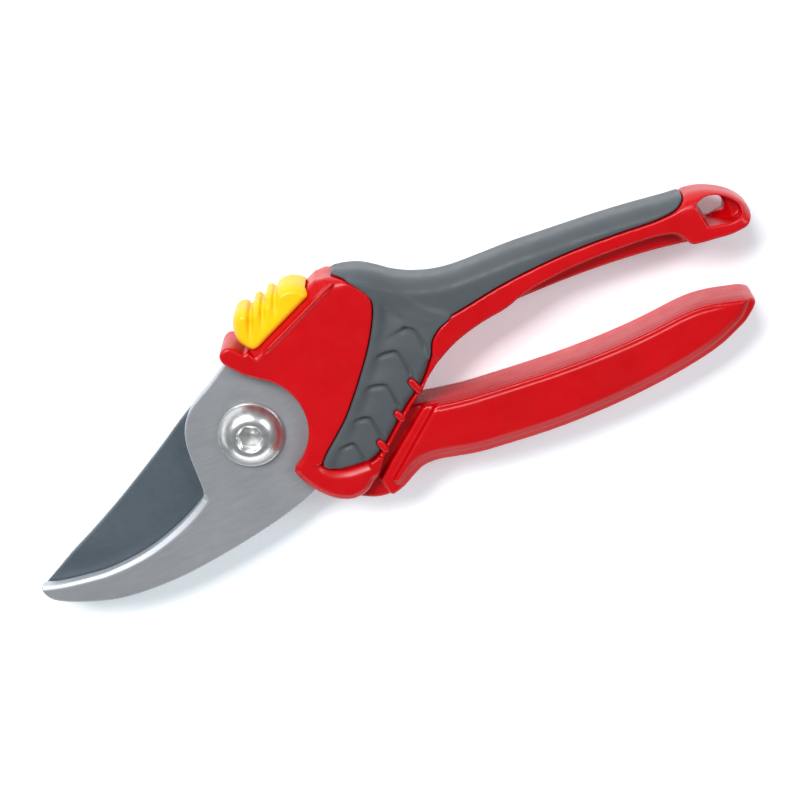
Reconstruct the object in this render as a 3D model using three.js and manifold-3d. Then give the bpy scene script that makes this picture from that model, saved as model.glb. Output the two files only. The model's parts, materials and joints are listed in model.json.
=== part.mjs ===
// Bypass pruning shears with moulded handles, 211 mm long, closed and locked.
//
// Frame: the origin is on the pivot axis, in the plane that the shears rest on. +Z runs along the
// pivot bolt towards its head, +X towards the handle ends and +Y towards the upper handle.
// From the back (z = 0) to the front the pieces are stacked like this:
//   handle hub and nut, cutting blade, counter-blade, housing front, bolt head.
import * as THREE from 'three';
import { mergeVertices } from 'three/addons/utils/BufferGeometryUtils.js';
import Module from 'manifold-3d';

const wasm = await Module();
wasm.setup();

// Driving dimensions, millimetres.
const gap = 0.3; // between pieces that touch on the real shears
const upperDepth = 17.5; // thickness of the upper handle and its housing
const lowerDepth = 16.5; // thickness of the lower handle
const gripTop = 18; // front of the soft grip and top of the bolt head
const hub = { radius: 14.5, bore: 8.3, top: 5.7 };
const cutting = { low: 6, high: 9, hubRadius: 14.8 };
const counter = { low: 9.3, high: 13.3 };
const roof = counter.high + gap; // underside of the housing's front wall
const sweepRadius = 15.6; // room in the housing for the turning hub
const neckRadius = 27.8; // outside this radius the neck is thick
const stepHeights = [12.6, 14.6]; // the neck's two steps below the full handle depth
const bladeRoom = 0.35; // round a blade that is let into plastic
const bolt = { shank: 4, head: 8.75, flange: 1, socketFlats: 6, socketDepth: 3.2, chamfer: 0.5 };
const bush = { inner: 4.15, outer: 4.8 };
const bladeBore = 5;
const nut = { acrossFlats: 13, low: 0.2, high: 3.1 };
const lockWasher = { inner: 4.2, outer: 6.6, low: 3.4, high: 4.4 };
const flatWasher = { inner: 4.2, outer: 7.6, low: 4.7, high: 5.7 };
const spring = { radius: 11.4, wire: 1.5, turns: 1.5, low: 2.45, pitch: 1.6, legAngle: 45, legEnd: 19 };
const springLegHeight = spring.low + spring.turns * spring.pitch;
const springLegSwing = { start: -3, step: 7.5, count: 6 }; // degrees that the hub may turn round the leg
const groove = { inner: 10.2, outer: 12.6, floor: 1.6 };
const track = { x: 13.6, y: 19.5, angle: 21.5, wall: 3.2 };
const slider = { low: 1.8, high: 16.8, frontLipTop: 17.2, backLipLow: 0.7 };
const rivet = { radius: 1.2, hole: 1.5, top: 10.6 };
const screw = { shank: 1.7, head: 3.1, headHeight: 2.2, headLow: 0.9, socketFlats: 2.5, chamfer: 0.5 };
const tangScrewTip = 14.3;
const gripLegFloor = 15; // the soft grip lies this deep in the housing's front
const flangeDrop = 4.6; // from the upper handle's faces down to the inner flange
const notchFloor = 13.3; // radius of the latch's notch in the cutting blade's hub
const tangScrewPlaces = [[26, 10], [40, 11]];
const bladeScrewPlaces = [[26, -16.5], [39, -17.5]];

// Colour, roughness and metalness.
const finishes = {
  redPlastic: [0xd8101c, 0.35, 0],
  greyGrip: [0x5f666b, 0.7, 0],
  yellowPlastic: [0xffc800, 0.35, 0],
  steel: [0x8f9296, 0.4, 1],
  coatedSteel: [0x4a545c, 0.45, 0.6],
  polishedSteel: [0xd4d6d8, 0.15, 1],
  zinc: [0xb4b8bb, 0.3, 1],
  rubber: [0x1c1d1f, 0.9, 0],
};

const radians = (degrees) => (degrees * Math.PI) / 180;

// ---------------------------------------------------------------- outlines

const lines = (...points) => (path) => points.forEach(([x, y]) => path.lineTo(x, y));
const smooth = (...points) => (path) => path.splineThru(points.map(([x, y]) => new THREE.Vector2(x, y)));
// An arc, drawn in pieces of at most 45 degrees.
const arc = (x, y, radius, from, to) => (path) => {
  const count = Math.ceil(Math.abs(to - from) / 45);
  for (let i = 0; i < count; i += 1) {
    const [start, end] = [i, i + 1].map((k) => radians(from + ((to - from) * k) / count));
    path.absarc(x, y, radius, start, end, to < from);
  }
};

function outline([x, y], ...pieces) {
  const shape = new THREE.Shape();
  shape.moveTo(x, y);
  pieces.forEach((draw) => draw(shape));
  return shape;
}

// The same outline moved outwards by distance, as a polygon.
function grown(shape, distance, detail = 3) {
  let points = shape.getPoints(detail)
    .filter((point, i, all) => point.distanceTo(all[(i + 1) % all.length]) > 1e-3);
  if (THREE.ShapeUtils.isClockWise(points)) points = points.reverse();
  const moved = points.map((point, i) => {
    const before = points[(i + points.length - 1) % points.length];
    const after = points[(i + 1) % points.length];
    const into = point.clone().sub(before).normalize();
    const out = after.clone().sub(point).normalize();
    const normal = new THREE.Vector2(into.y + out.y, -into.x - out.x).normalize();
    const stretch = Math.min(2, 1 / Math.max(0.5, normal.x * into.y - normal.y * into.x));
    return point.clone().addScaledVector(normal, distance * stretch);
  });
  return new THREE.Shape(moved);
}

// A place on the lock's track: along it towards the handle end, and up from the housing's rim.
function onTrack(along, up) {
  const [c, s] = [Math.cos(radians(track.angle)), Math.sin(radians(track.angle))];
  return [track.x + along * c - up * s, track.y + along * s + up * c];
}

function trackBox(from, to, low, high) {
  return outline(onTrack(from, low), lines(onTrack(to, low), onTrack(to, high), onTrack(from, high)));
}

// ---------------------------------------------------------------- solids

function solidOf(geometry) {
  const bare = geometry.clone();
  bare.deleteAttribute('normal');
  bare.deleteAttribute('uv');
  const merged = mergeVertices(bare, 1e-4);
  return new wasm.Manifold(new wasm.Mesh({
    numProp: 3,
    vertProperties: new Float32Array(merged.attributes.position.array),
    triVerts: new Uint32Array(merged.index.array),
  }));
}

function geometryOf(solid) {
  const mesh = solid.getMesh();
  const geometry = new THREE.BufferGeometry();
  geometry.setAttribute('position', new THREE.BufferAttribute(new Float32Array(mesh.vertProperties), 3));
  geometry.setIndex(new THREE.BufferAttribute(new Uint32Array(mesh.triVerts), 1));
  geometry.computeVertexNormals();
  return geometry;
}

// An outline between two heights, its edges rounded by `round` inwards and `rise` in height.
function plate(shape, low, high, { round = 0, rise = round, steps = 2, detail = 3 } = {}) {
  const geometry = new THREE.ExtrudeGeometry(shape, {
    depth: high - low - 2 * rise,
    bevelEnabled: round > 0,
    bevelThickness: rise,
    bevelSize: round,
    bevelOffset: -round,
    bevelSegments: steps,
    curveSegments: detail,
  });
  geometry.translate(0, 0, low + rise);
  return solidOf(geometry);
}

// A round piece from a closed half-profile of [radius, z] points.
function turned(profile, sides = 32) {
  const geometry = new THREE.LatheGeometry(profile.map(([r, z]) => new THREE.Vector2(r, z)), sides);
  geometry.rotateX(Math.PI / 2);
  return solidOf(geometry);
}

function ring(inner, outer, low, high, sides = 32) {
  return turned([[inner, low], [outer, low], [outer, high], [inner, high], [inner, low]], sides);
}

function disc(radius, low, high, x = 0, y = 0, sides = 32) {
  return turned([[0, low], [radius, low], [radius, high], [0, high]], sides).translate([x, y, 0]);
}

function hexagon(acrossFlats, low, high) {
  return disc(acrossFlats / Math.sqrt(3), low, high, 0, 0, 6);
}

// A section drawn in (up from the rim, z), run along the lock's track.
function alongTrack(section, from, length) {
  const geometry = new THREE.ExtrudeGeometry(section, { depth: length, bevelEnabled: false });
  geometry.applyMatrix4(new THREE.Matrix4().makeBasis(
    new THREE.Vector3(0, 1, 0),
    new THREE.Vector3(0, 0, 1),
    new THREE.Vector3(1, 0, 0),
  ));
  geometry.rotateZ(radians(track.angle));
  const [x, y] = onTrack(from, 0);
  geometry.translate(x, y, 0);
  return solidOf(geometry);
}

function node(name, solid, [color, roughness, metalness]) {
  const material = new THREE.MeshStandardMaterial({ color, roughness, metalness });
  const mesh = new THREE.Mesh(geometryOf(solid), material);
  mesh.name = name;
  return mesh;
}

// ---------------------------------------------------------------- shared outlines

// Upper handle: the hump behind the housing, the arm and its rounded end.
const armOutline = outline(
  [33.5, 30.9],
  lines([37, 30.5]),
  smooth([41, 29.7], [44.7, 28.2], [47.9, 25.9], [51, 23.3], [54.3, 21.2], [57.8, 19.6]),
  smooth([61.5, 18.4], [66, 17.6], [74, 17.1], [82, 16.7], [90, 15.9], [98, 15.1], [106, 14.2], [114, 13.1]),
  smooth([122, 11.8], [129.6, 10.7], [133.6, 9.3], [137.2, 6.9], [140.1, 3.4]),
  lines([140.9, 0.2], [138.6, -2.3]),
  smooth([135, -2.7], [130, -2.1], [125, -1.3]),
  smooth([116, 0.5], [106, 1.9], [95, 2.9], [84, 3.4], [75, 3.5], [68, 2.9], [62, 1.7], [57, 0]),
  smooth([52, -2.6], [48.6, -5], [46.4, -7]),
  lines([43, -9.5], [26, -4], [26, 20]),
);

// Housing: nose, track for the lock, round cut-out beside the bolt and the lobe below it.
const housingOutline = outline(
  [3.4, 19.4],
  smooth([2.4, 21.2], [2.4, 23], [3.8, 24.2], [5.6, 24.3]),
  lines(onTrack(-4.2, track.wall), onTrack(23.4, track.wall)),
  smooth([37.6, 30.2], [43, 27], [47, 20]),
  lines([54, 8], [52, -2.6]),
  smooth([48.6, -5], [46.4, -7]),
  lines([41.6, -10], [35.2, -15], [30.2, -18.9]),
  smooth([26.6, -21.7], [24.6, -24.6], [21.3, -26.7], [17.4, -27.2], [13.8, -25.8], [11, -23.4]),
  smooth([8.7, -20.3], [7, -17], [6.1, -14]),
  lines([7.2, -12.2]),
  arc(1, 1, 14.7, -62, 57),
  lines([6, 16]),
);

// Space that the hub, the neck and the cutting blade's heel turn through.
const sweepOutline = outline(
  [-20, -40],
  lines([62, -40], [62, -16.2], [16.4, -2.7]),
  arc(0, 0, sweepRadius, -8, 180),
);

const lowerHandleOutline = outline(
  [14.6, -3.4],
  lines([43.6, -11.7]),
  smooth([48.5, -13], [55, -14.3], [62, -15.2], [70, -16.1], [80, -17.1], [90, -17.7], [100, -17.9]),
  smooth([108, -17.6], [114, -17.2], [119, -17.3], [123.5, -18.1], [127.6, -19.3]),
  lines([133, -21.5], [129.4, -25.6]),
  smooth([125.4, -27.5], [120.5, -29.3], [115, -30.5]),
  smooth([107, -31.6], [98, -32.3], [88, -32.6], [78, -32.4], [69, -31.8], [60.5, -30.8], [52.3, -29.7]),
  smooth([45.5, -28], [41.5, -27], [37.5, -26.9], [34, -28.2], [30.2, -30], [26, -30.9], [22, -30.2]),
  smooth([15.6, -26.4], [9.5, -22], [2, -17.6], [-6, -13.6]),
  arc(0, 0, hub.radius, -122, -364),
);

// The part of the lower handle beyond a step: everything right of a slanting line.
function beyond([x1, y1], [x2, y2]) {
  return outline([x1, y1], lines([x2, y2], [x2 + 2, y2 - 14], [150, -50], [150, -5], [x1 + 4, y1 + 10]));
}

const counterBladeOutline = outline(
  [-69.9, -15.4],
  smooth([-65.7, -16.7], [-61.6, -17.6], [-57.5, -18.3], [-53, -18.9], [-48.7, -19], [-44, -18.8]),
  smooth([-39.3, -18.2], [-34.4, -17.1], [-28.9, -15.4], [-23.3, -13.1], [-19.6, -11]),
  smooth([-18.7, -9.7], [-18.3, -8]),
  lines([-17.7, -2]),
  smooth([-17.3, 1.5], [-16.5, 5.2], [-14.8, 9], [-11.8, 12.3], [-8, 14.5], [-4, 16.4]),
  lines([3.4, 20.6], [5, 21.8], [8, 17], [14, 14.6], [22, 14.8], [32, 16.2], [42, 15.6]),
  smooth([47.2, 14], [49, 10], [46.5, 6], [40, 2.5]),
  smooth([30, -2.5], [24, -8], [18.5, -14.5], [12.8, -19.2], [8.4, -21.4]),
  smooth([3.1, -23.2], [-6.8, -25.4], [-16.4, -26.9], [-25.8, -28], [-35.1, -28.6], [-44, -28.3]),
  smooth([-52.4, -27.2], [-60.1, -24.6], [-66.4, -21.6]),
  smooth([-69.2, -19.4], [-70.3, -16.8]),
);

const cuttingBladeOutline = outline(
  [-70.4, -16.3],
  smooth([-64.7, -13.9], [-58.8, -11.2], [-53, -8.8], [-47.1, -6.2], [-41.1, -3.4], [-35.1, -0.4]),
  smooth([-29.1, 2.7], [-22.9, 6], [-16.7, 9.5], [-12.4, 11.7], [-8.6, 13.2], [-6.6, 13.3]),
  arc(0, 0, cutting.hubRadius, 116, -18),
  lines([26, -9.5], [40, -13.6], [54, -17.6], [54, -23], [40, -22.5], [30, -25.5], [22, -25.2]),
  smooth([10, -19.5], [2, -16], [-6, -14.6], [-12, -15.8], [-18, -18.4], [-26, -21.6], [-34, -23.7]),
  smooth([-42, -24.3], [-50, -23.6], [-57, -21.9], [-64, -19.3], [-69.4, -17.2]),
);

// The soft grip's border on the housing and along the arm.
const gripArmRegion = outline(
  [37, 37],
  lines([38.6, 32.2]),
  smooth([40.8, 28.3], [43.1, 24.3], [46.4, 18.5], [50, 13.4], [54, 9.4], [60.5, 8]),
  smooth([65.2, 8.6], [74.2, 10.1], [84, 10.9], [95.5, 11.1], [107, 10.6], [119.5, 9.7], [124, 10.2]),
  smooth([126.2, 11.8], [127, 15]),
  lines([127, 32], [80, 42]),
);

const gripLegOutline = outline(
  [40.8, 28.3],
  smooth([43.1, 24.3], [44.6, 20.4], [43.4, 15.6], [38.2, 9], [33.1, 3.1], [29, -1.4], [24.6, -5.8]),
  smooth([20, -9.4], [15.6, -12.8], [14, -14.8], [15.4, -16.5], [18.7, -18.3], [22.6, -18.9], [26, -19.6]),
  lines([31.2, -16.4], [38.2, -10.9], [44.6, -5.9]),
  smooth([48.4, -2.9], [52.2, 0.6], [53.6, 3.6], [56.6, 6], [60.5, 8]),
  lines([56, 12], [50, 20]),
);

// Harder core of the arm, which the grip is moulded round.
const coreOutline = outline(
  [36, 24],
  lines([40.6, 26.6]),
  smooth([44.2, 24.4], [48.8, 21], [54.3, 18.2], [60, 16.3], [67, 14.9], [76, 14.2], [86, 13.5]),
  smooth([96, 12.5], [106, 11.3], [115, 10.3], [122.5, 9.3]),
  lines([123, 6], [60, 5], [44, 2]),
);
const core = { low: 3, high: 14.4 };

const latchOutline = outline(
  [2.2, 14],
  lines([5.4, 13.2], [14.6, 17.6], [21.6, 20.8], [22.2, 24.2], [15.6, 22.4], [9.4, 19.6], [2.6, 16.6]),
);

// ---------------------------------------------------------------- upper handle body

function throughHoles(places, radius, low, high) {
  return places.map(([x, y]) => disc(radius, low, high, x, y, 20));
}

function withoutAll(solid, cuts) {
  return cuts.reduce((rest, cut) => rest.subtract(cut), solid);
}

// The soft rounding of both handles' long edges.
const handleEdge = { round: 2.2, rise: 3.4, steps: 2, detail: 2 };

function handleEnvelope() {
  const arm = plate(armOutline, 0, upperDepth, handleEdge);
  const housing = plate(housingOutline, 0, upperDepth, { round: 1.1, detail: 3 });
  return arm.add(housing);
}

// The rim between the housing's front and the lock's track, and the same at the back.
function trackChamfers() {
  const wedge = (z, side) => outline(
    [-0.2, z],
    lines([6, z - side * 6.2], [6, z + side * 2], [-0.2, z + side * 2]),
  );
  return [wedge(upperDepth, 1), wedge(0, -1)].map((section) => alongTrack(section, -3, 36));
}

const latchRoom = outline(
  [0, 12.6],
  lines([6, 12.2], [15, 16.8], [28.4, 22.4], [28.6, 27.6], [14.9, 23.1], [8.6, 20.4], [0, 17]),
);

function lockRooms() {
  return [
    plate(latchRoom, hub.top, cutting.high),
    plate(trackBox(-1.4, 17, -3.7, 6), cutting.high - 0.1, 12.8),
  ];
}

const innerFlange = outline(
  [76, 3.2],
  smooth([82, 5.4], [90, 6.3], [98, 6.4], [108, 5.8], [117, 4.7], [121.6, 3], [124, -1.3]),
  lines([124, -6], [76, -6]),
);

const hangHole = outline(
  [129.2, 6.8],
  smooth([130, 7.7], [131.6, 8], [133.4, 7.5]),
  smooth([135, 6.4], [135.6, 4.4], [134.8, 2.2]),
  smooth([133, 1.4], [131, 1.3], [129.8, 2]),
);

const hangRecess = outline(
  [129.4, 7],
  smooth([131, 8], [134.4, 7.3], [137.4, 5.1], [139, 2.8], [138.6, 0.9], [136, 0.3], [132.4, 0.6]),
  smooth([129.9, 1.6], [128.9, 4]),
);

// Room for the spring's straight leg, `extra` more than the wire all round.
function springLegSlot(extra) {
  const half = spring.wire / 2 + extra;
  const end = spring.legEnd + extra;
  const slot = outline([12, -half], lines([end, -half], [end, half], [12, half]));
  return plate(slot, springLegHeight - half, hub.top + 0.2).rotate([0, 0, spring.legAngle]);
}

function upperHandle() {
  const [flangeFront, flangeBack] = [upperDepth - flangeDrop, flangeDrop];
  const solid = handleEnvelope().subtract(plate(sweepOutline, -1, roof, { detail: 3 }));
  return withoutAll(solid, [
    ...trackChamfers(),
    plate(grown(counterBladeOutline, bladeRoom), cutting.high, roof),
    plate(gripArmRegion, -1, gripTop + 1).subtract(plate(coreOutline, core.low, core.high)),
    plate(gripLegOutline, gripLegFloor, gripTop + 1),
    ...lockRooms(),
    springLegSlot(0.3),
    plate(innerFlange, flangeFront, gripTop),
    plate(innerFlange, -1, flangeBack),
    plate(hangHole, -1, gripTop),
    plate(hangRecess, upperDepth - 4, gripTop),
    ...throughHoles(tangScrewPlaces, screw.shank + gap, -1, tangScrewTip + gap),
    ...throughHoles(tangScrewPlaces, screw.head + gap, -1, screw.headLow + screw.headHeight + gap),
  ]);
}

function upperGrip() {
  const shell = handleEnvelope()
    .intersect(plate(grown(gripArmRegion, -gap), -1, gripTop + 1))
    .subtract(plate(grown(coreOutline, gap), core.low - gap, core.high + gap));
  const leg = plate(grown(gripLegOutline, -gap, 1), gripLegFloor + gap, gripTop);
  return withoutAll(shell.add(leg), [
    plate(sweepOutline, -1, roof, { detail: 3 }),
    plate(grown(counterBladeOutline, bladeRoom), cutting.high, roof),
  ]);
}

function counterBlade() {
  const round = 0.7;
  const tall = plate(counterBladeOutline, counter.low - 4, counter.high, { round, steps: 1 });
  const lower = plate(counterBladeOutline, counter.low - 6, counter.low);
  return withoutAll(tall, [
    lower,
    disc(bladeBore, counter.low - 1, counter.high + 1),
    ...throughHoles(tangScrewPlaces, screw.shank + gap, counter.low - 1, counter.high + 1),
  ]);
}

// A socket screw put in from the back, its tip at the given height.
function socketScrew(tip) {
  const { shank, head, headHeight, headLow, socketFlats, chamfer } = screw;
  const headTop = headLow + headHeight;
  const profile = [
    [0, headLow],
    [head - chamfer, headLow],
    [head, headLow + chamfer],
    [head, headTop],
    [shank, headTop],
    [shank, tip - chamfer],
    [shank - chamfer, tip],
    [0, tip],
  ];
  return turned(profile, 20).subtract(hexagon(socketFlats, headLow - 1, headLow + 1.3));
}

function pivotBolt() {
  const top = gripTop;
  const { shank, head, flange, socketFlats, socketDepth, chamfer } = bolt;
  const profile = [
    [0, 0],
    [shank - chamfer, 0],
    [shank, chamfer],
    [shank, roof],
    [head, roof],
    [head, roof + flange / 2],
    [head - 0.5, roof + flange],
    [head - 1, roof + flange + 0.7],
    [6.9, top - 1.3],
    [5.6, top - 0.45],
    [4, top],
    [0, top],
  ];
  return turned(profile, 40).subtract(hexagon(socketFlats, top - socketDepth, top + 1));
}

function washer({ inner, outer, low, high }) {
  return ring(inner, outer, low, high);
}

function pivotNut() {
  return hexagon(nut.acrossFlats, nut.low, nut.high).subtract(disc(bolt.shank + gap, -1, nut.high + 1));
}

function returnSpring() {
  class Coil extends THREE.Curve {
    getPoint(t) {
      const { radius, turns, pitch, low, legAngle, legEnd } = spring;
      const coilShare = 0.9;
      const turnedBy = Math.min(t / coilShare, 1) * turns;
      const angle = radians(legAngle + 360 * (turnedBy - turns) + 4 * Math.max(0, 1 - t / 0.02));
      const reach = Math.max(0, (t - coilShare) / (1 - coilShare));
      const distance = radius + reach * (legEnd - radius);
      const [x, y] = [distance * Math.cos(angle), distance * Math.sin(angle)];
      return new THREE.Vector3(x, y, low + turnedBy * pitch);
    }
  }
  const circle = new THREE.Shape().absarc(0, 0, spring.wire / 2, 0, 2 * Math.PI);
  const options = { steps: 60, extrudePath: new Coil(), curveSegments: 4 };
  return solidOf(new THREE.ExtrudeGeometry(circle, options));
}

function detentSpring() {
  const strip = outline(
    onTrack(-0.6, -3.2),
    smooth(onTrack(3, -2.6), onTrack(6, -2.2), onTrack(9, -2.9), onTrack(12, -2.2), onTrack(16, -3)),
    lines(onTrack(16, -3.5)),
    smooth(onTrack(12, -2.7), onTrack(9, -3.4), onTrack(6, -2.7), onTrack(3, -3.1), onTrack(-0.6, -3.6)),
  );
  return plate(strip, 9.6, 12.2, { detail: 2 });
}

// ---------------------------------------------------------------- lock

const lockRivetPlace = onTrack(6.6, 0.6);

function rivetHole() {
  return disc(rivet.hole, 0, rivet.top + 0.4, ...lockRivetPlace, 20);
}

// The housing's top edge with running clearance, cut out of the slider.
function trackEdge() {
  const wall = track.wall + 0.35;
  const slope = 0.3;
  const [back, front] = [-2, upperDepth + 0.5];
  const section = outline(
    [-4, back],
    lines([back + slope, back], [wall, wall - slope], [wall, upperDepth + slope - wall]),
    lines([slope - 0.5, front], [-4, front]),
  );
  return alongTrack(section, -8, 40);
}

function lockSlider() {
  const silhouette = outline(
    onTrack(-3.2, 3.8),
    smooth(onTrack(-3.3, 6.4), onTrack(-1.2, 9.8), onTrack(2.4, 11.6), onTrack(6, 11), onTrack(10.4, 9.9)),
    smooth(onTrack(14.6, 8.6), onTrack(17.6, 6.6), onTrack(19.4, 3.8)),
  );
  const lip = outline(
    onTrack(-2.4, 3.4),
    lines(onTrack(-3, 6), onTrack(17, 6), onTrack(19.4, 3.8)),
    smooth(onTrack(19.6, 2.4), onTrack(18, 1.2)),
    lines(onTrack(0.4, 1.2)),
  );
  const cap = plate(silhouette, slider.low, slider.high, { round: 0.8, rise: 1.6, steps: 1, detail: 1 });
  const frontLip = plate(lip, 11, slider.frontLipTop);
  const backLip = plate(lip, slider.backLipLow, 6.5);
  const post = plate(trackBox(3, 10, -1.6, 6), cutting.high + 0.2, 12.4);
  // Narrow grooves between the slider's thumb ribs.
  const grooves = [3.7, 7.7, 11.7, 15.7].map((along) =>
    plate(trackBox(along, along + 0.6, 10.84 - along * 0.2, 14), 0, gripTop + 1));
  const shell = withoutAll(cap.add(frontLip).add(backLip), [trackEdge(), ...grooves]);
  return shell.add(post).subtract(rivetHole());
}

function lockLatch() {
  return plate(latchOutline, cutting.low + 0.2, cutting.high - 0.2).subtract(rivetHole());
}

function lockRivet() {
  return disc(rivet.radius, cutting.low, rivet.top, ...lockRivetPlace, 20);
}

// ---------------------------------------------------------------- lower handle body

const bumperPlace = { x: 36, y: -9.1, angle: -16.2, length: 8, depth: 2.4, low: 2, high: 9 };

function bumperOutline(extra) {
  const { x, y, angle, length, depth } = bumperPlace;
  const [c, s] = [Math.cos(radians(angle)), Math.sin(radians(angle))];
  const at = (along, up) => [x + along * c - up * s, y + along * s + up * c];
  const half = length / 2 + extra;
  const [floor, face] = [-depth - extra, 0.05];
  return outline(at(-half, floor), lines(at(half, floor), at(half, face), at(-half, face)));
}

function lowerHandle() {
  const base = plate(lowerHandleOutline, 0, hub.top, { detail: 3 });
  const thickNeck = plate(lowerHandleOutline, 0, stepHeights[0], { round: 0.8, steps: 1, detail: 3 })
    .subtract(disc(neckRadius, hub.top, 30, 0, 0, 48));
  const rounded = plate(lowerHandleOutline, 0, lowerDepth, handleEdge);
  const first = plate(beyond([44.8, -11.4], [25.4, -25.6]), -1, stepHeights[1]);
  const second = plate(beyond([47.2, -12.4], [28.6, -26.6]), -1, lowerDepth + 1);
  const { start, step, count } = springLegSwing;
  const legRoom = Array.from({ length: count }, (_, i) =>
    springLegSlot(0.4).rotate([0, 0, start + i * step]));
  const handle = base.add(thickNeck).add(rounded.intersect(first.add(second)));
  return withoutAll(handle, [
    disc(hub.bore, -1, hub.top + 1),
    ring(groove.inner, groove.outer, groove.floor, hub.top + 0.6),
    ...legRoom,
    plate(grown(cuttingBladeOutline, bladeRoom), hub.top, cutting.high + gap)
      .subtract(disc(neckRadius - 6, 0, 20)),
    plate(bumperOutline(gap), bumperPlace.low - gap, bumperPlace.high + gap),
    ...throughHoles(bladeScrewPlaces, screw.shank + gap, -1, cutting.low + 1),
    ...throughHoles(bladeScrewPlaces, screw.head + gap, -1, screw.headLow + screw.headHeight + gap),
  ]);
}

function cuttingBlade() {
  const body = plate(cuttingBladeOutline, cutting.low, cutting.high, { round: 0.25, steps: 1 });
  const notch = ring(notchFloor, 20, cutting.low - 1, cutting.high + 1, 64)
    .intersect(plate(outline([0, 0], lines([9.4, 17], [4, 22], [-11, 22], [-9.2, 17])), 0, 20));
  return withoutAll(body, [
    notch,
    disc(bladeBore, 0, 20),
    ...throughHoles(bladeScrewPlaces, screw.shank + gap, 0, 20),
  ]);
}

// ---------------------------------------------------------------- assembly

const upperBody = [
  node('upper_handle', upperHandle(), finishes.redPlastic),
  node('upper_grip', upperGrip(), finishes.greyGrip),
  node('counter_blade', counterBlade(), finishes.steel),
  ...tangScrewPlaces.map(([x, y], i) =>
    node(`tang_screw_${i + 1}`, socketScrew(tangScrewTip).translate([x, y, 0]), finishes.zinc)),
  node('pivot_bolt', pivotBolt(), finishes.polishedSteel),
  node('pivot_bush', ring(bush.inner, bush.outer, cutting.low, counter.high), finishes.zinc),
  node('pivot_washer', washer(flatWasher), finishes.zinc),
  node('pivot_lock_washer', washer(lockWasher), finishes.zinc),
  node('pivot_nut', pivotNut(), finishes.zinc),
  node('return_spring', returnSpring(), finishes.steel),
  node('lock_detent_spring', detentSpring(), finishes.zinc),
];
const lockBody = [
  node('lock_slider', lockSlider(), finishes.yellowPlastic),
  node('lock_latch', lockLatch(), finishes.zinc),
  node('lock_rivet', lockRivet(), finishes.zinc),
];
const lowerBody = [
  node('lower_handle', lowerHandle(), finishes.redPlastic),
  node('cutting_blade', cuttingBlade(), finishes.coatedSteel),
  ...bladeScrewPlaces.map(([x, y], i) =>
    node(`blade_screw_${i + 1}`, socketScrew(cutting.high).translate([x, y, 0]), finishes.zinc)),
  node('closing_bumper', plate(bumperOutline(0), bumperPlace.low, bumperPlace.high), finishes.rubber),
];

const group = new THREE.Group();
group.add(...upperBody, ...lockBody, ...lowerBody);

export default group;
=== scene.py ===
import json
import math

import bpy
import numpy as np
import openvdb
from mathutils import Matrix, Vector


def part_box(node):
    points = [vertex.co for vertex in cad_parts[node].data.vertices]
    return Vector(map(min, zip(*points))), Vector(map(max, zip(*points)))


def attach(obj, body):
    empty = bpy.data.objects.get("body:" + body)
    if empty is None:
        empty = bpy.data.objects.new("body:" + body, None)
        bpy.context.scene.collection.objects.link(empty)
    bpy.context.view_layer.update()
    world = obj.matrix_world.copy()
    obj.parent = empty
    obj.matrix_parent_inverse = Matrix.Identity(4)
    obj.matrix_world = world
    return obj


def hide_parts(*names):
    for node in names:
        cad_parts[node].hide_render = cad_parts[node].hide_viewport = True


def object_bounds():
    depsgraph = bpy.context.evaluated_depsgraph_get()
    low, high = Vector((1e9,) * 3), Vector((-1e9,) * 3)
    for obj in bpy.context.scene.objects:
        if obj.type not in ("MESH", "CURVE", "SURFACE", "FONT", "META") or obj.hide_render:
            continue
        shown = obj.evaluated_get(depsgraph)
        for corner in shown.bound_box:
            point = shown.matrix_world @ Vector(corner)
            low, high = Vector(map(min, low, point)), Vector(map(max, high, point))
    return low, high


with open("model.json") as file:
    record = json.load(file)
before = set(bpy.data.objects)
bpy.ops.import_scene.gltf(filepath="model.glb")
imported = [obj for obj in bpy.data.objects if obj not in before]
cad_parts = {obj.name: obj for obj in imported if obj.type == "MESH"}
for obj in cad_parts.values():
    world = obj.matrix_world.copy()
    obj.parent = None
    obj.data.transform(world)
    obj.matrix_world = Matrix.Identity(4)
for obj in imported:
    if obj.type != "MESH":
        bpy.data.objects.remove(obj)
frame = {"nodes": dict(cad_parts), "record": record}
cad_low, cad_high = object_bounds()

# Lengths here are in millimetres, and become metres when a mesh is made.
MM = 0.001
GAP = 0.12  # the parting line between two moulded pieces, on each side of it


def span(node):
    """The corners of a CAD node's box, in millimetres."""
    low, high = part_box(node)
    return np.array(low) / MM, np.array(high) / MM


def middle(node):
    low, high = span(node)
    return (low + high) / 2


UPPER_TOP = span("upper_handle")[1][2]
LOWER_TOP = span("lower_handle")[1][2]
GRIP_TOP = span("upper_grip")[1][2]
BLADE_LOW, BLADE_HIGH = span("cutting_blade")[0][2], span("cutting_blade")[1][2]
HOOK_LOW, HOOK_HIGH = span("counter_blade")[0][2], span("counter_blade")[1][2]
ROOF = HOOK_HIGH + 0.3  # underside of the housing's front wall
HUB_TOP = BLADE_LOW - 0.3  # top of the lower handle's hub, on which the cutting blade lies
BOLT_RADIUS = span("pivot_bolt")[1][0]
TANG_SCREWS = [middle(f"tang_screw_{i}") for i in (1, 2)]
BLADE_SCREWS = [middle(f"blade_screw_{i}") for i in (1, 2)]

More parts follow.
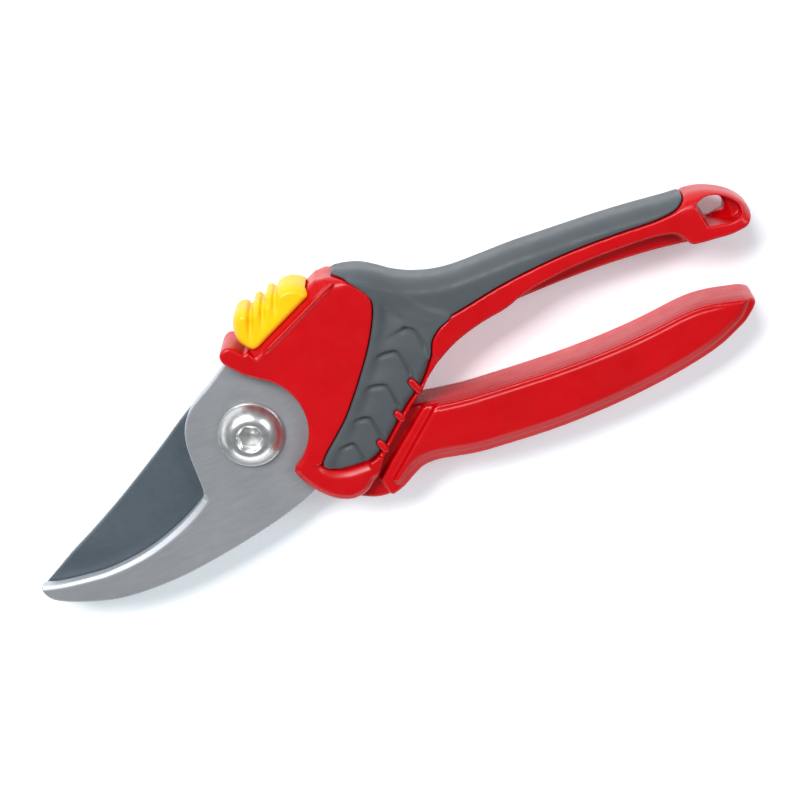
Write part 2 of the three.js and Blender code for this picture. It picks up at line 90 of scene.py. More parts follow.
BELOW, ABOVE = -5, 30  # heights past the back and the front of every piece
BLADE_ROOM = 0.35  # room in the plastic round a blade
BLADE_BORE = 5  # radius of the pivot's bore in both blades
SCREW_ROOM, SCREW_DEPTH = 3.4, 3.4  # the hole for a screw's head: its radius, and its top
LEG_FLOOR = 15  # the grip's leg lies this high in the housing's front
FLANGE_DROP = 4.6  # from the upper handle's faces down into the inner channel
NECK_RADIUS = 27.8  # outside this radius the lower handle's neck is thick
NECK_HEIGHT, STEP_HEIGHT = 12.6, 14.6  # of the neck, and of its step below the full handle
WASHER_ROOM = 8.3  # radius of the bore in the hub for the washers and the nut

# The lock's track: where it starts, which way it runs, and the height of its wall above the rim.
TRACK_START = (13.6, 19.5)
TRACK_ANGLE = math.radians(21.5)
TRACK_WALL = 3.2


# ---------------------------------------------------------------- outlines


def curve(points, closed=True, step=0.6):
    """A polyline through points. [x, y] is a corner, and the line is smooth through each (x, y)."""
    count = len(points)
    xy = np.array(points, float)
    corner = [isinstance(p, list) for p in points]
    made = []
    for i in range(count if closed else count - 1):
        j = (i + 1) % count
        start, end = xy[i], xy[j]
        before = None if corner[i] or (not closed and i == 0) else xy[i - 1]
        after = None if corner[j] or (not closed and j == count - 1) else xy[(j + 1) % count]
        chord = end - start
        length = math.sqrt(max(np.hypot(*chord), 1e-9))
        leave, arrive = chord, chord
        if before is not None:
            gone = math.sqrt(max(np.hypot(*(start - before)), 1e-9))
            leave = chord + length * ((start - before) / gone - (end - before) / (gone + length))
        if after is not None:
            to_go = math.sqrt(max(np.hypot(*(after - end)), 1e-9))
            arrive = chord + length * ((after - end) / to_go - (after - start) / (length + to_go))
        steps = max(1, math.ceil(np.hypot(*chord) / step))
        if leave is chord and arrive is chord:
            steps = 1
        t = np.arange(steps)[:, None] / steps
        made.append(
            start * (2 * t**3 - 3 * t**2 + 1)
            + end * (3 * t**2 - 2 * t**3)
            + leave * (t**3 - 2 * t**2 + t)
            + arrive * (t**3 - t**2)
        )
    if not closed:
        made.append(xy[-1:])
    return np.concatenate(made)


def arc(x, y, radius, start, end, step=12):
    """Smooth points round a circle, both angles in degrees."""
    count = max(2, math.ceil(abs(end - start) / step) + 1)
    angles = np.radians(np.linspace(start, end, count))
    return [(x + radius * math.cos(a), y + radius * math.sin(a)) for a in angles]


# The upper handle's arm: its back from the hump to the rounded end, then its inner side.
ARM_BACK = [
    (37, 30.5), (41, 29.7), (44.7, 28.2), (47.9, 25.9), (51, 23.3), (54.3, 21.2), (57.8, 19.6),
    (61.5, 18.4), (66, 17.6), (74, 17.1), (82, 16.7), (90, 15.9), (98, 15.1), (106, 14.2),
    (114, 13.1), (122, 11.8), (129.6, 10.7), (133.6, 9.3), (137.2, 6.9), (140.1, 3.4),
    (140.9, 0.4),
]
ARM_INNER = [
    (138.9, -2.1), (135, -2.7), (130, -2.1), (125, -1.3), (116, 0.5), (106, 1.9), (95, 2.9),
    (84, 3.4), (75, 3.5), (68, 2.9), (62, 1.7), (57, 0), (52, -2.6), (48.6, -5), [46.4, -7],
]
ARM = [[36.5, 28], *ARM_BACK, *ARM_INNER, [43, -6], [42, 2], [46, 14], [44, 22]]

LOBE_EDGE = [
    (24.6, -24.6), (21.3, -26.7), (17.4, -27.2), (13.8, -25.8), (11, -23.4), (8.7, -20.3),
    (7, -17), (6.1, -14),
]
NOSE = [[3.4, 19.4], (2.4, 21.2), (2.4, 23), (3.8, 24.2), (5.6, 24.3)]

HOOK_EDGE = [
    (-69.9, -15.4), (-65.7, -16.7), (-61.6, -17.6), (-57.5, -18.3), (-53, -18.9), (-48.7, -19),
    (-44, -18.8), (-39.3, -18.2), (-34.4, -17.1), (-28.9, -15.4), (-23.3, -13.1), (-19.6, -11),
]
HOOK = [
    *HOOK_EDGE,
    (-18.6, -9.4), (-18.1, -6), (-17.7, -2), (-17.3, 1.5), (-16.5, 5.2), (-14.8, 9),
    (-11.8, 12.3), (-8, 14.5), (-4, 16.4), [3.4, 20.6], [5, 21.8], [8, 17], [14, 14.6],
    (22, 14.8), (32, 16.2), (42, 15.6), (47.2, 14), (49, 10), (46.5, 6), (40, 2.5), (30, -2.5),
    (24, -8), (18.5, -14.5), (12.8, -19.2), (8.4, -21.4), (3.1, -23.2), (-6.8, -25.4),
    (-16.4, -26.9), (-25.8, -28), (-35.1, -28.6), (-44, -28.3), (-52.4, -27.2), (-60.1, -24.6),
    (-66.4, -21.6), (-69.2, -19.4), (-70.2, -16.9),
]

CUT_EDGE = [
    (-6, -14.6), (-12, -15.8), (-18, -18.4), (-26, -21.6), (-34, -23.7), (-42, -24.3),
    (-50, -23.6), (-57, -21.9), (-64, -19.3), (-69.4, -17.2),
]
CUTTER = [
    [-70.3, -16.3], (-64.7, -13.9), (-58.8, -11.2), (-53, -8.8), (-47.1, -6.2), (-41.1, -3.4),
    (-35.1, -0.4), (-29.1, 2.7), (-22.9, 6), (-16.7, 9.5), (-12.4, 11.7), (-8.6, 13.2),
    *arc(0, 0, 14.8, 114, -18), [26, -9.5], [40, -13.6], [54, -17.6], [54, -23], [40, -22.5],
    [30, -25.5], [22, -25.2], (10, -19.5), (2, -16), *CUT_EDGE,
]

LOWER_INNER = [
    [43.6, -11.7], (48.5, -13), (55, -14.3), (62, -15.2), (70, -16.1), (80, -17.1), (90, -17.7),
    (100, -17.9), (108, -17.6), (114, -17.2), (119, -17.3), (123.5, -18.1), (127.6, -19.3),
    (131.4, -20.6),
]
LOWER_OUTER = [
    (133, -22), (129.4, -25.6), (125.4, -27.5), (120.5, -29.3), (115, -30.5), (107, -31.6),
    (98, -32.3), (88, -32.6), (78, -32.4), (69, -31.8), (60.5, -30.8), (52.3, -29.7),
    (45.5, -28), (41.5, -27), (37.5, -26.9), (34, -28.2), (30.2, -30), (26, -30.9), (22, -30.2),
]
LOWER = [
    [14.6, -3.4], *LOWER_INNER, *LOWER_OUTER, (15.6, -26.4), (9.5, -22), (2, -17.6),
    [-6, -13.6], *arc(0, 0, 14.5, -122, -364),
]

# The soft grip's border along the arm, and the leg of it that lies on the housing.
GRIP_ARM = [
    [33.3, 40], [33.3, 30.5], (36, 30.1), (38.6, 28.9), (41.5, 26.3), (43.8, 22.8),
    (46.4, 18.5), (50, 13.4), (54, 9.4), (60.5, 8), (65.2, 8.4), (74.2, 9.6), (84, 10.3),
    (95.5, 10.4), (107, 9.7), (119.5, 8.6), (124.4, 9.1), (127, 11), (127.8, 14.6),
    [128, 32], [80, 42],
]
LEG_LEFT = [
    (41.2, 27.4), (43.4, 23.8), (44.4, 20.9), (43.4, 17.4), (38.8, 10), (33.1, 3.1), (29, -1.4),
    (24.6, -5.8), (20, -9.4), (15.6, -12.8), (14, -14.8),
]
LEG_BOTTOM = [(15.4, -16.9), (18.7, -18.6), (22.6, -19.1), (26.4, -19.2)]
LEG_RIGHT = [
    [30.2, -17.6], (34.6, -14.1), (41, -9.1), (45.9, -6.1), (48.4, -3.9), (50.8, -1.2), (52.4, 1.2),
    (53.8, 3.8), (56.6, 6), (60.5, 8),
]
GRIP_LEG = [*LEG_LEFT, *LEG_BOTTOM, *LEG_RIGHT, [56, 12], [50, 20]]
GRIP_CORE = [
    [36, 24], [40.6, 26.6], (44.2, 24.4), (48.8, 21), (54.3, 18.2), (60, 16.3), (67, 14.9),
    (76, 14.2), (86, 13.5), (96, 12.5), (106, 11.3), (115, 10.3), [122.5, 9.3], [123, 6],
    [60, 5], [44, 2],
]
# Each rib of the leg ends at a curved groove. Small red tabs reach in beside three of them.
RIB_GROOVES = [
    [(49.0, 10.2), (51.2, 8.2), (52.0, 3.7)],
    [(40.5, 6.3), (44.5, 5.1), (45.6, -1.4)],
    [(34.3, -0.3), (38.3, -2.1), (39.2, -8.6)],
    [(27.4, -6.9), (30.7, -8.3), (31.6, -14.2)],
    [(20.6, -12.2), (23.8, -12.8), (25.0, -17.4)],
]
RIM_TABS = [((44.5, -3.9), (45.2, -6.7)), ((37.5, -10.2), (38, -12)), ((30.1, -15.5), (30.6, -17.8))]
TAB_RADIUS = 1.0

# The thumb slider in profile, along the lock's track and up from the rim: four lobes on its back.
SLIDER = [
    (-2.4, 2), (-3.1, 4), (-3.2, 6.4), (-1.6, 9.6), (0.8, 11.6), (2.7, 12), (4.3, 11.1), (5.3, 9.9),
    (6.3, 10.2), (7.6, 10.4), (8.7, 9.7), (9.4, 9.0), (10.2, 9.5), (11.3, 9.7), (12.3, 9.1),
    (12.9, 8.5), (13.6, 8.7), (14.6, 8.4), (16.6, 7.6), (18.4, 5.8), (19.3, 3.6), (19.1, 1.8),
    [18.3, 1], [0.2, 1], (-1.2, 1.2),
]

INNER_FLANGE = [
    [74, 3.2], (80, 5.2), (90, 6.3), (98, 6.4), (108, 5.8), (117, 4.7), (121.6, 3),
    [124, -1.3], [124, -6], [74, -6],
]
HANG_HOLE = [
    [128.9, 7.6], (130.6, 8.2), (132.8, 8), (134.8, 6.8), (135.6, 4.8), [135, 2.6], [130, 2],
]
HANG_RECESS = [
    [128.7, 8], (131.2, 8.6), (134.4, 7.6), (137.2, 5.3), (138.7, 2.8), (138.2, 0.9),
    (135.6, 0.3), [129.6, 1.7],
]


def on_track(points):
    """Points given along the lock's track and up from it, as points of the part."""
    c, s = math.cos(TRACK_ANGLE), math.sin(TRACK_ANGLE)
    x, y = TRACK_START
    return [type(p)((x + p[0] * c - p[1] * s, y + p[0] * s + p[1] * c)) for p in points]


# ---------------------------------------------------------------- distance fields


class Space:
    """Sample points, one voxel apart, round a piece. Every distance is negative inside a shape."""

    margin = 3

    def __init__(self, node, voxel):
        low, high = span(node)
        self.voxel = voxel * 1
        voxel = self.voxel
        self.low = low - self.margin * voxel
        counts = np.ceil((high - low) / voxel).astype(int) + 2 * self.margin + 1
        x, y, z = (
            (self.low[i] + voxel * np.arange(counts[i])).astype(np.float32) for i in range(3)
        )
        self.x, self.y, self.z = x[:, None, None], y[None, :, None], z[None, None, :]

    def from_line(self, line, closed=False):
        """Distance from a polyline seen from the front, with a sign if it is closed."""
        x, y = self.x[:, :, 0], self.y[:, :, 0]
        nearest = np.full((x.shape[0], y.shape[1]), 1e12, np.float32)
        inside = np.zeros(nearest.shape, bool)
        ends = np.roll(line, -1, axis=0) if closed else line[1:]
        for (ax, ay), (bx, by) in zip(line if closed else line[:-1], ends):
            ex, ey = bx - ax, by - ay
            px, py = x - ax, y - ay
            share = np.clip((px * ex + py * ey) / max(ex * ex + ey * ey, 1e-12), 0, 1)
            nearest = np.minimum(nearest, (px - share * ex) ** 2 + (py - share * ey) ** 2)
            if closed and ay != by:
                inside ^= ((ay > y) != (by > y)) & (px < ex * (y - ay) / ey)
        found = np.sqrt(nearest)
        if closed:
            found = np.where(inside, -found, found)
        return found[:, :, None].astype(np.float32)

    def on_track(self):
        """Each point's place along the lock's track and up from the housing's rim."""
        dx, dy = self.x - TRACK_START[0], self.y - TRACK_START[1]
        c, s = math.cos(TRACK_ANGLE), math.sin(TRACK_ANGLE)
        return dx * c + dy * s, dy * c - dx * s


def join(a, b, soft):
    """Both shapes, with a fillet of about `soft` between them."""
    share = np.clip(0.5 + 0.5 * (b - a) / soft, 0, 1)
    return b + (a - b) * share - soft * share * (1 - share)


def common(a, b, soft):
    return -join(-a, -b, soft)


def cut(a, b, soft):
    return common(a, -b, soft)


def plate(flat, z, low, high, across, along=None):
    """An outline between two heights, its edges rounded by `across` inwards and `along` in height."""
    along = along or across
    side = flat + across
    end = (np.abs(z - (low + high) / 2) - (high - low) / 2 + along) * (across / along)
    outside = np.hypot(np.maximum(side, 0), np.maximum(end, 0))
    return outside + np.minimum(np.maximum(side, end), 0) - across


def capsule(space, start, end, radius):
    """A rounded bar between two [x, y, z] points."""
    start, along = np.array(start, float), np.array(end, float) - start
    px, py, pz = space.x - start[0], space.y - start[1], space.z - start[2]
    share = np.clip((px * along[0] + py * along[1] + pz * along[2]) / (along @ along), 0, 1)
    dx, dy, dz = px - share * along[0], py - share * along[1], pz - share * along[2]
    return np.sqrt(dx * dx + dy * dy + dz * dz) - radius


def smoothstep(t):
    t = np.clip(t, 0, 1)
    return t * t * (3 - 2 * t)


def sampled(field, places):
    """The field between its sample points, places being in voxels."""
    places = np.clip(places, 0, np.array(field.shape) - 1.001)
    base = np.floor(places).astype(int)
    part = (places - base).astype(np.float32)
    total = np.zeros(len(places), np.float32)
    for corner in np.ndindex(2, 2, 2):
        weight = np.prod(np.where(corner, part, 1 - part), axis=1)
        total += weight * field[tuple((base + corner).T)]
    return total


def pulled_onto(field, places):
    """The places moved onto the surface where the field is zero."""
    slope = np.stack(
        [sampled(field, places + step) - sampled(field, places - step) for step in np.eye(3) * 0.5],
        axis=1,
    )
    steep = np.maximum((slope**2).sum(axis=1), 1e-3)
    move = slope * (sampled(field, places) / steep)[:, None]
    return places - np.clip(move, -0.6, 0.6)


def largest_part(count, edges):
    """Which of the points belong to the biggest connected part."""
    label = np.arange(count)
    while True:
        least = np.minimum(label[edges[:, 0]], label[edges[:, 1]])
        found = label.copy()
        np.minimum.at(found, edges[:, 0], least)
        np.minimum.at(found, edges[:, 1], least)
        found = found[found]
        if (found == label).all():
            return label == np.bincount(label).argmax()
        label = found


def sums_of_neighbours(places, edges):
    """For each point, the sum of the points that share an edge with it."""
    count = len(places)
    return np.stack(
        [
            np.bincount(edges[:, 0], places[edges[:, 1], i], count)
            + np.bincount(edges[:, 1], places[edges[:, 0], i], count)
            for i in range(3)
        ],
        axis=1,
    )


def skin(name, space, field, relax=2):
    """The surface of a field as an object: quads, evened out, pulled onto the field and kept
    within the CAD's box."""
    field = np.ascontiguousarray(field, np.float32)
    grid = openvdb.FloatGrid(10.0)
    grid.copyFromArray(field)
    places, quads = grid.convertToQuads(0.0)
    places, quads = places.astype(float), quads.astype(int)
    edges = np.concatenate([quads[:, [k, (k + 1) % 4]] for k in range(4)])
    kept = largest_part(len(places), edges)
    renumber = np.cumsum(kept) - 1
    quads = renumber[quads[kept[quads[:, 0]]]]
    places = places[kept]
    edges = np.concatenate([quads[:, [k, (k + 1) % 4]] for k in range(4)])
    neighbours = np.bincount(edges.ravel(), minlength=len(places))[:, None]
    for _ in range(relax):
        sums = sums_of_neighbours(places, edges)
        places = pulled_onto(field, 0.4 * places + 0.6 * sums / neighbours)
    sums = sums_of_neighbours(places, edges)
    places = 0.6 * places + 0.4 * sums / neighbours
    points = space.low + places * space.voxel
    points = np.clip(points, np.array(cad_low) / MM, np.array(cad_high) / MM)
    a, b, c = (points[quads[:, i]] for i in range(3))
    if np.einsum("ij,ij->i", a, np.cross(b - a, c - a)).sum() < 0:
        quads = quads[:, ::-1]
    return mesh_object(name, points, quads)


def mesh_object(name, points, faces):
    """An object from points in millimetres and faces that all have the same number of corners."""
    faces = np.ascontiguousarray(faces, np.int32)
    mesh = bpy.data.meshes.new(name)
    mesh.vertices.add(len(points))
    mesh.vertices.foreach_set("co", (np.array(points, float) * MM).astype(np.float32).ravel())
    mesh.loops.add(faces.size)
    mesh.loops.foreach_set("vertex_index", faces.ravel())
    mesh.polygons.add(len(faces))
    corners = faces.shape[1]
    mesh.polygons.foreach_set("loop_start", np.arange(0, faces.size, corners, dtype=np.int32))
    mesh.update(calc_edges=True)
    mesh.validate()
    mesh.shade_smooth()
    made = bpy.data.objects.new(name, mesh)
    bpy.context.scene.collection.objects.link(made)
    return made


# ---------------------------------------------------------------- moulded pieces


def holes(space, solid, places, radius, top, soft=0.25):
    """The solid with a round hole from the back at each place."""
    for x, y, _ in places:
        hole = plate(np.hypot(space.x - x, space.y - y) - radius, space.z, BELOW, top, 0.2)
        solid = cut(solid, hole, soft)
    return solid


def upper_envelope(space):
    """The whole upper handle with its grip, before anything is cut out of it."""
    z, top = space.z, UPPER_TOP
    arm = space.from_line(curve(ARM), closed=True)
    back = space.from_line(curve(ARM_BACK, closed=False))
    along, up = space.on_track()
    wall = on_track([[-4.2, TRACK_WALL], [23.4, TRACK_WALL]])
    outline = [
        *NOSE, *wall, (37.6, 30.2), (43, 27), (47, 20), [54, 8], [52, -2.6], (48.6, -5),
        [46.4, -7], [41.6, -10], [35.2, -15], [30.2, -18.9], *LOBE_EDGE, [7.2, -12.2],
        *arc(1, 1, 14.7, -62, 57), [6, 16],
    ]
    housing = space.from_line(curve(outline), closed=True)
    whole = plate(np.minimum(arm, housing), z, 0, top, 1.2)
    lobe = space.from_line(curve(LOBE_EDGE, closed=False))
    whole = common(whole, plate(-lobe, z, -top, top, 3.4, 2.8), 0.5)
    beyond = np.maximum(along - 33, -3 - along)
    for slope in ((up + 0.2 + z - top), (up + 0.2 - z)):
        whole = cut(whole, np.maximum(-slope / math.sqrt(2), beyond), 0.7)
    whole = common(whole, plate(-back, z, 0, top, 4.6, 6.4), 0.5)
    taper = smoothstep((along + 1.8) / 3.5) * smoothstep((27.5 - along) / 3.5)
    bead = np.hypot(up + 0.25, z - top + 0.15) + 0.1 - 0.68 * taper
    return join(whole, bead, 0.2)


def grip_pockets(space):
    """Where the soft grip lies: round the arm's core, and in the housing's front."""
    region = space.from_line(curve(GRIP_ARM), closed=True)
    core = plate(space.from_line(curve(GRIP_CORE), closed=True), space.z, 3, 14.4, 1)
    leg = space.from_line(curve(GRIP_LEG), closed=True)
    return np.maximum(region, -core), leg


def turning_room(space):
    """The room for the lower handle's hub, the blade and the neck."""
    outline = [[-20, -40], [62, -40], [62, -16.2], [16.4, -2.7], *arc(0, 0, 15.6, -8, 180), [-20, 0]]
    room = space.from_line(curve(outline), closed=True)
    return plate(room, space.z, BELOW, ROOF, 0.3)


def tang_room(space):
    """The room for the hooked blade, under the housing's front wall."""
    tang = space.from_line(curve(HOOK), closed=True) - BLADE_ROOM
    return plate(tang, space.z, BLADE_HIGH, ROOF, 0.2)


def rim_tabs(space, radius):
    tabs = None
    for start, end in RIM_TABS:
        tab = capsule(space, [*start, GRIP_TOP - 1.15], [*end, GRIP_TOP - 1.5], radius)
        tabs = tab if tabs is None else np.minimum(tabs, tab)
    return tabs


def handle_shell():
    space = Space("upper_handle", voxel=0.39)
    x, y, z = space.x, space.y, space.z
    along, up = space.on_track()
    solid = upper_envelope(space)
    around, leg = grip_pockets(space)
    solid = cut(solid, turning_room(space), 0.4)
    solid = cut(solid, tang_room(space), 0.3)
    solid = cut(solid, around - GAP, 0.35)
    # Below the grip's leg the rim slopes down to it, and catches the light.
    slope_width, fall = 2.1, 0.75
    slope = (z - UPPER_TOP + (slope_width - leg) * fall) / math.hypot(1, fall)
    end_of_leg = np.maximum(y + 0.35 * x + 9.6, x - 25)
    solid = cut(solid, np.maximum(-slope, np.maximum(end_of_leg, leg - 2.4)), 0.5)
    solid = cut(solid, plate(leg - GAP, z, LEG_FLOOR, ABOVE, 0.3), 0.4)
    # On the leg's right the rim is lower, and the tabs stand on it.
    right = space.from_line(curve(LEG_RIGHT[:6], closed=False))
    solid = cut(solid, np.maximum(right - 2.2, 16.4 - z), 0.5)
    solid = join(solid, np.maximum(rim_tabs(space, TAB_RADIUS), z - UPPER_TOP), 0.4)
    flange = space.from_line(curve(INNER_FLANGE), closed=True)
    for bottom, top in ((UPPER_TOP - FLANGE_DROP, ABOVE), (BELOW, FLANGE_DROP)):
        solid = cut(solid, plate(flange, z, bottom, top, 1.2), 1.0)
    hole = space.from_line(curve(HANG_HOLE), closed=True)
    solid = cut(solid, plate(hole, z, BELOW, ABOVE, 0.5), 0.5)
    # The recess round the hole is shallow at the handle's end. On the back it is even.
    recess = space.from_line(curve(HANG_RECESS), closed=True)
    depth = 5.4 + 5.0 * smoothstep((137 - x) / 6)
    solid = cut(solid, np.maximum(recess, (UPPER_TOP - depth - z) * 0.8), 0.6)
    solid = cut(solid, plate(recess - 0.6, z, BELOW, 5.5, 0.5), 0.6)
    solid = holes(space, solid, TANG_SCREWS, SCREW_ROOM, SCREW_DEPTH)
    # The slot that the slider's post runs in, and a small blind hole in the nose.
    post_slot = np.maximum(np.maximum(-1.4 - along, along - 17), np.maximum(-3.7 - up, 8.9 - z))
    solid = cut(solid, np.maximum(post_slot, z - 12.8), 0.2)
    nose_hole = capsule(space, [0, 20.6, 11.4], [5, 20.2, 11.4], 0.7)
    return skin("handle_shell", space, cut(solid, nose_hole, 0.3))


def leg_relief(space):
    """How far the leg's surface lies below the grip's top: overlapping ribs, each with a steep
    edge towards the lower left and a long slope away from it."""
    depth = 1.3
    for points in RIB_GROOVES:
        (x1, y1), (x2, y2) = points[0], points[-1]
        line = curve(points, closed=False, step=0.4)
        near = space.from_line(line)
        below = np.concatenate([line, [[x2 - 2, y2 - 6], [x1 - 9, y1 - 9], [x1 - 6, y1 - 1]]])
        beyond = space.from_line(below, closed=True)
        groove = 0.75 * np.exp(-(((beyond + 0.5) / 0.7) ** 2) - (near / 1.6) ** 2)
        raised = 1.15 * smoothstep(beyond / 0.7) * np.exp(-((near / 4.2) ** 2))
        depth = depth + groove - raised
    return np.clip(depth, 0, 2.4)


def soft_grip():
    space = Space("upper_grip", voxel=0.34)
    x, y, z = space.x, space.y, space.z
    around, leg = grip_pockets(space)
    shell = common(upper_envelope(space), around + GAP, 0.9)
    right = space.from_line(curve([*LEG_BOTTOM[1:], *LEG_RIGHT[:6]], closed=False))
    left = space.from_line(curve(LEG_LEFT, closed=False))
    fade = smoothstep((60.5 - x) / 10) * smoothstep((left - 1) / 3)
    end_drop = 0.9 * smoothstep((-11 - y - 0.2 * x) / 7)
    top = GRIP_TOP - 0.1 - leg_relief(space) * fade - end_drop
    pad = plate(leg + GAP, z, LEG_FLOOR + 0.2, ABOVE, 0.3)
    pad = common(pad, (z - top) * 0.9, 0.7)
    pad = common(pad, (z - GRIP_TOP + 2.6 - 1.3 * right) * 0.6, 0.7)
    grip = join(shell, pad, 1.6)
    grip = common(grip, z - GRIP_TOP + 0.05, 0.3)
    grip = cut(grip, turning_room(space), 0.3)
    grip = cut(grip, tang_room(space), 0.3)
    return skin("soft_grip", space, cut(grip, rim_tabs(space, TAB_RADIUS + GAP), 0.3))


def beyond_step(space, start, end):
    """The lower handle beyond one of the neck's slanting steps."""
    (x1, y1), (x2, y2) = start, end
    outline = [[x1, y1], [x2, y2], [x2 + 2, y2 - 14], [150, -50], [150, -5], [x1 + 4, y1 + 10]]
    return space.from_line(curve(outline), closed=True)


def bumper_pocket(space):
    """The room for the rubber bumper, a box that is turned to lie along the neck's edge."""
    bumper = middle("closing_bumper")
    half_length, half_depth, half_height = 4.3, 1.6, 3.8
    turn = math.radians(-16.2)
    c, s = math.cos(turn), math.sin(turn)
    dx, dy, dz = space.x - bumper[0], space.y - bumper[1], space.z - bumper[2]
    flat = np.maximum(np.abs(dx * c + dy * s) - half_length, np.abs(dy * c - dx * s) - half_depth)
    return np.maximum(flat, np.abs(dz) - half_height)


def lower_handle():
    space = Space("lower_handle", voxel=0.38)
    x, y, z, top = space.x, space.y, space.z, LOWER_TOP
    flat = space.from_line(curve(LOWER), closed=True)
    from_pivot = np.hypot(x, y)
    hub = plate(flat, z, 0, HUB_TOP, 0.4)
    neck = common(plate(flat, z, 0, NECK_HEIGHT, 0.9), NECK_RADIUS - from_pivot, 0.5)
    inner = space.from_line(curve(LOWER_INNER, closed=False))
    outer = space.from_line(curve(LOWER_OUTER, closed=False))
    grip = plate(flat, z, 0, top, 1.0)
    grip = np.maximum(grip, plate(-outer, z, 0, top, 4.8, 6.0))
    # A narrow seam runs along the inner edge, front and back, and fades out before the end.
    started = smoothstep((x - 45.5) / 2) * smoothstep((128 - x) / 6)
    for face in (0, top):
        grip = cut(grip, np.hypot(inner - 0.9, z - face) - 0.42 * started, 0.25)
    step = plate(flat, z, 0, STEP_HEIGHT, 0.9)
    first = common(step, beyond_step(space, (44.8, -11.4), (25.4, -25.6)), 1.0)
    second = common(grip, beyond_step(space, (47.2, -12.4), (28.6, -26.6)), 1.2)
    solid = join(join(join(hub, neck, 0.3), first, 0.5), second, 0.5)
    solid = cut(solid, plate(from_pivot - WASHER_ROOM, z, BELOW, 10, 0.3), 0.4)
    tang = space.from_line(curve(CUTTER), closed=True) - BLADE_ROOM
    tang = plate(tang, z, HUB_TOP, BLADE_HIGH + 0.3, 0.2)
    solid = cut(solid, common(tang, NECK_RADIUS - 6 - from_pivot, 0.2), 0.2)
    solid = cut(solid, bumper_pocket(space), 0.2)
    solid = holes(space, solid, BLADE_SCREWS, SCREW_ROOM, SCREW_DEPTH)
    return skin("lower_grip_handle", space, solid)


def thumb_slider():
    space = Space("lock_slider", voxel=0.2)
    z = space.z
    along, up = space.on_track()
    profile = space.from_line(curve(on_track(SLIDER), step=0.4), closed=True)
    body = plate(profile, z, 1.8, 17.2, 2.3, 4.6)
    # A shallow groove runs from each valley down the front, towards the nose.
    pitch = 4.6
    lobes = (along - up + pitch) / pitch
    valley = np.where(np.abs(lobes - 1) < 1.5, 0.5 + 0.5 * np.cos(2 * math.pi * lobes), 0)
    body = body + 0.75 * valley**2 * smoothstep((up - 3.5) / 5.5)
    wall = TRACK_WALL + 0.35
    edge = np.maximum(up - wall, np.maximum(up + z - UPPER_TOP - 0.05, up - z - 0.05))
    body = cut(body, edge, 0.2)
    # The post that runs in the housing's slot, over the latch.
    post = np.maximum(np.abs(along - 6.5) - 3.5, np.abs(up - 2.2) - 3.8)
    post = np.maximum(post, np.abs(z - 10.8) - 1.6)
    return skin("thumb_slider", space, join(body, post, 0.3))


# ---------------------------------------------------------------- steel pieces


def bored(space, blade):
    """The blade with the pivot's bore."""
    bore = plate(np.hypot(space.x, space.y) - BLADE_BORE, space.z, 0, ABOVE, 0.2)
    return cut(blade, bore, 0.2)


def hooked_blade():
    space = Space("counter_blade", voxel=0.27)
    x, z = space.x, space.z
    solid = plate(space.from_line(curve(HOOK), closed=True), z, HOOK_LOW, HOOK_HIGH, 0.35)
    edge = space.from_line(curve(HOOK_EDGE, closed=False))
    width = 1.0 + 0.6 * smoothstep((x + 68) / 45)
    ground = (z - HOOK_HIGH + (width - edge) * 0.5) * 0.9
    solid = common(solid, ground, 0.12)
    return skin("hooked_blade", space, bored(space, solid), relax=1)


def coated_blade():
    space = Space("cutting_blade", voxel=0.27)
    x, y, z = space.x, space.y, space.z
    solid = plate(space.from_line(curve(CUTTER), closed=True), z, BLADE_LOW, BLADE_HIGH, 0.25)
    edge = space.from_line(curve([*CUT_EDGE, (-70.3, -16.3)], closed=False))
    width = 6.5 * smoothstep((-4 - x) / 14)
    ground = (BLADE_LOW - z + (width - edge) * 0.4) * 0.93
    solid = common(solid, ground, 0.15)
    # The latch's notch in the hub.
    notch_side = np.maximum(x - 9.6 + (y - 17) * 1.08, -10.2 - x - (y - 17) * 0.3)
    notch = np.maximum(13.3 - np.hypot(x, y), np.maximum(notch_side, 9 - y))
    solid = cut(solid, notch, 0.3)
    return skin("coated_blade", space, bored(space, solid), relax=1)


def ring(radius, z, count=96):
    """A ring of points. radius is a number, or a function of the angle."""
    angles = np.arange(count) * 2 * math.pi / count
    radii = np.array([radius(a) for a in angles]) if callable(radius) else np.full(count, radius)
    return np.stack([radii * np.cos(angles), radii * np.sin(angles), np.full(count, z)], axis=1)


def hexagon(across_flats):
    """The radius of a hexagon at each angle."""

    def radius(angle):
        part = (angle + math.pi / 6) % (math.pi / 3) - math.pi / 6
        return across_flats / 2 / math.cos(part)

    return radius


def lesser(first, second):
    """The smaller of a shape's radius and a number, at each angle."""
    return lambda angle: min(first(angle), second)


def stacked(name, rings, centre=(0, 0, 0), closed=True):
    """A turned piece from rings of points: closed on itself, or capped at both ends."""
    count = len(rings[0])
    points = np.concatenate(rings) + centre
    here = np.arange(count)
    after = (here + 1) % count
    total = len(rings)
    faces = []
    for i in range(total if closed else total - 1):
        a, b = i * count, (i + 1) % total * count
        faces.append(np.stack([here + a, after + a, after + b, here + b], axis=1))
    faces = np.concatenate(faces).tolist()
    if not closed:
        faces.append(here[::-1].tolist())
        faces.append((here + (total - 1) * count).tolist())
    mesh = bpy.data.meshes.new(name)
    mesh.from_pydata((points * MM).tolist(), [], faces)
    mesh.validate()
    mesh.shade_smooth()
    mesh.set_sharp_from_angle(angle=math.radians(38))
    made = bpy.data.objects.new(name, mesh)
    bpy.context.scene.collection.objects.link(made)
    return made


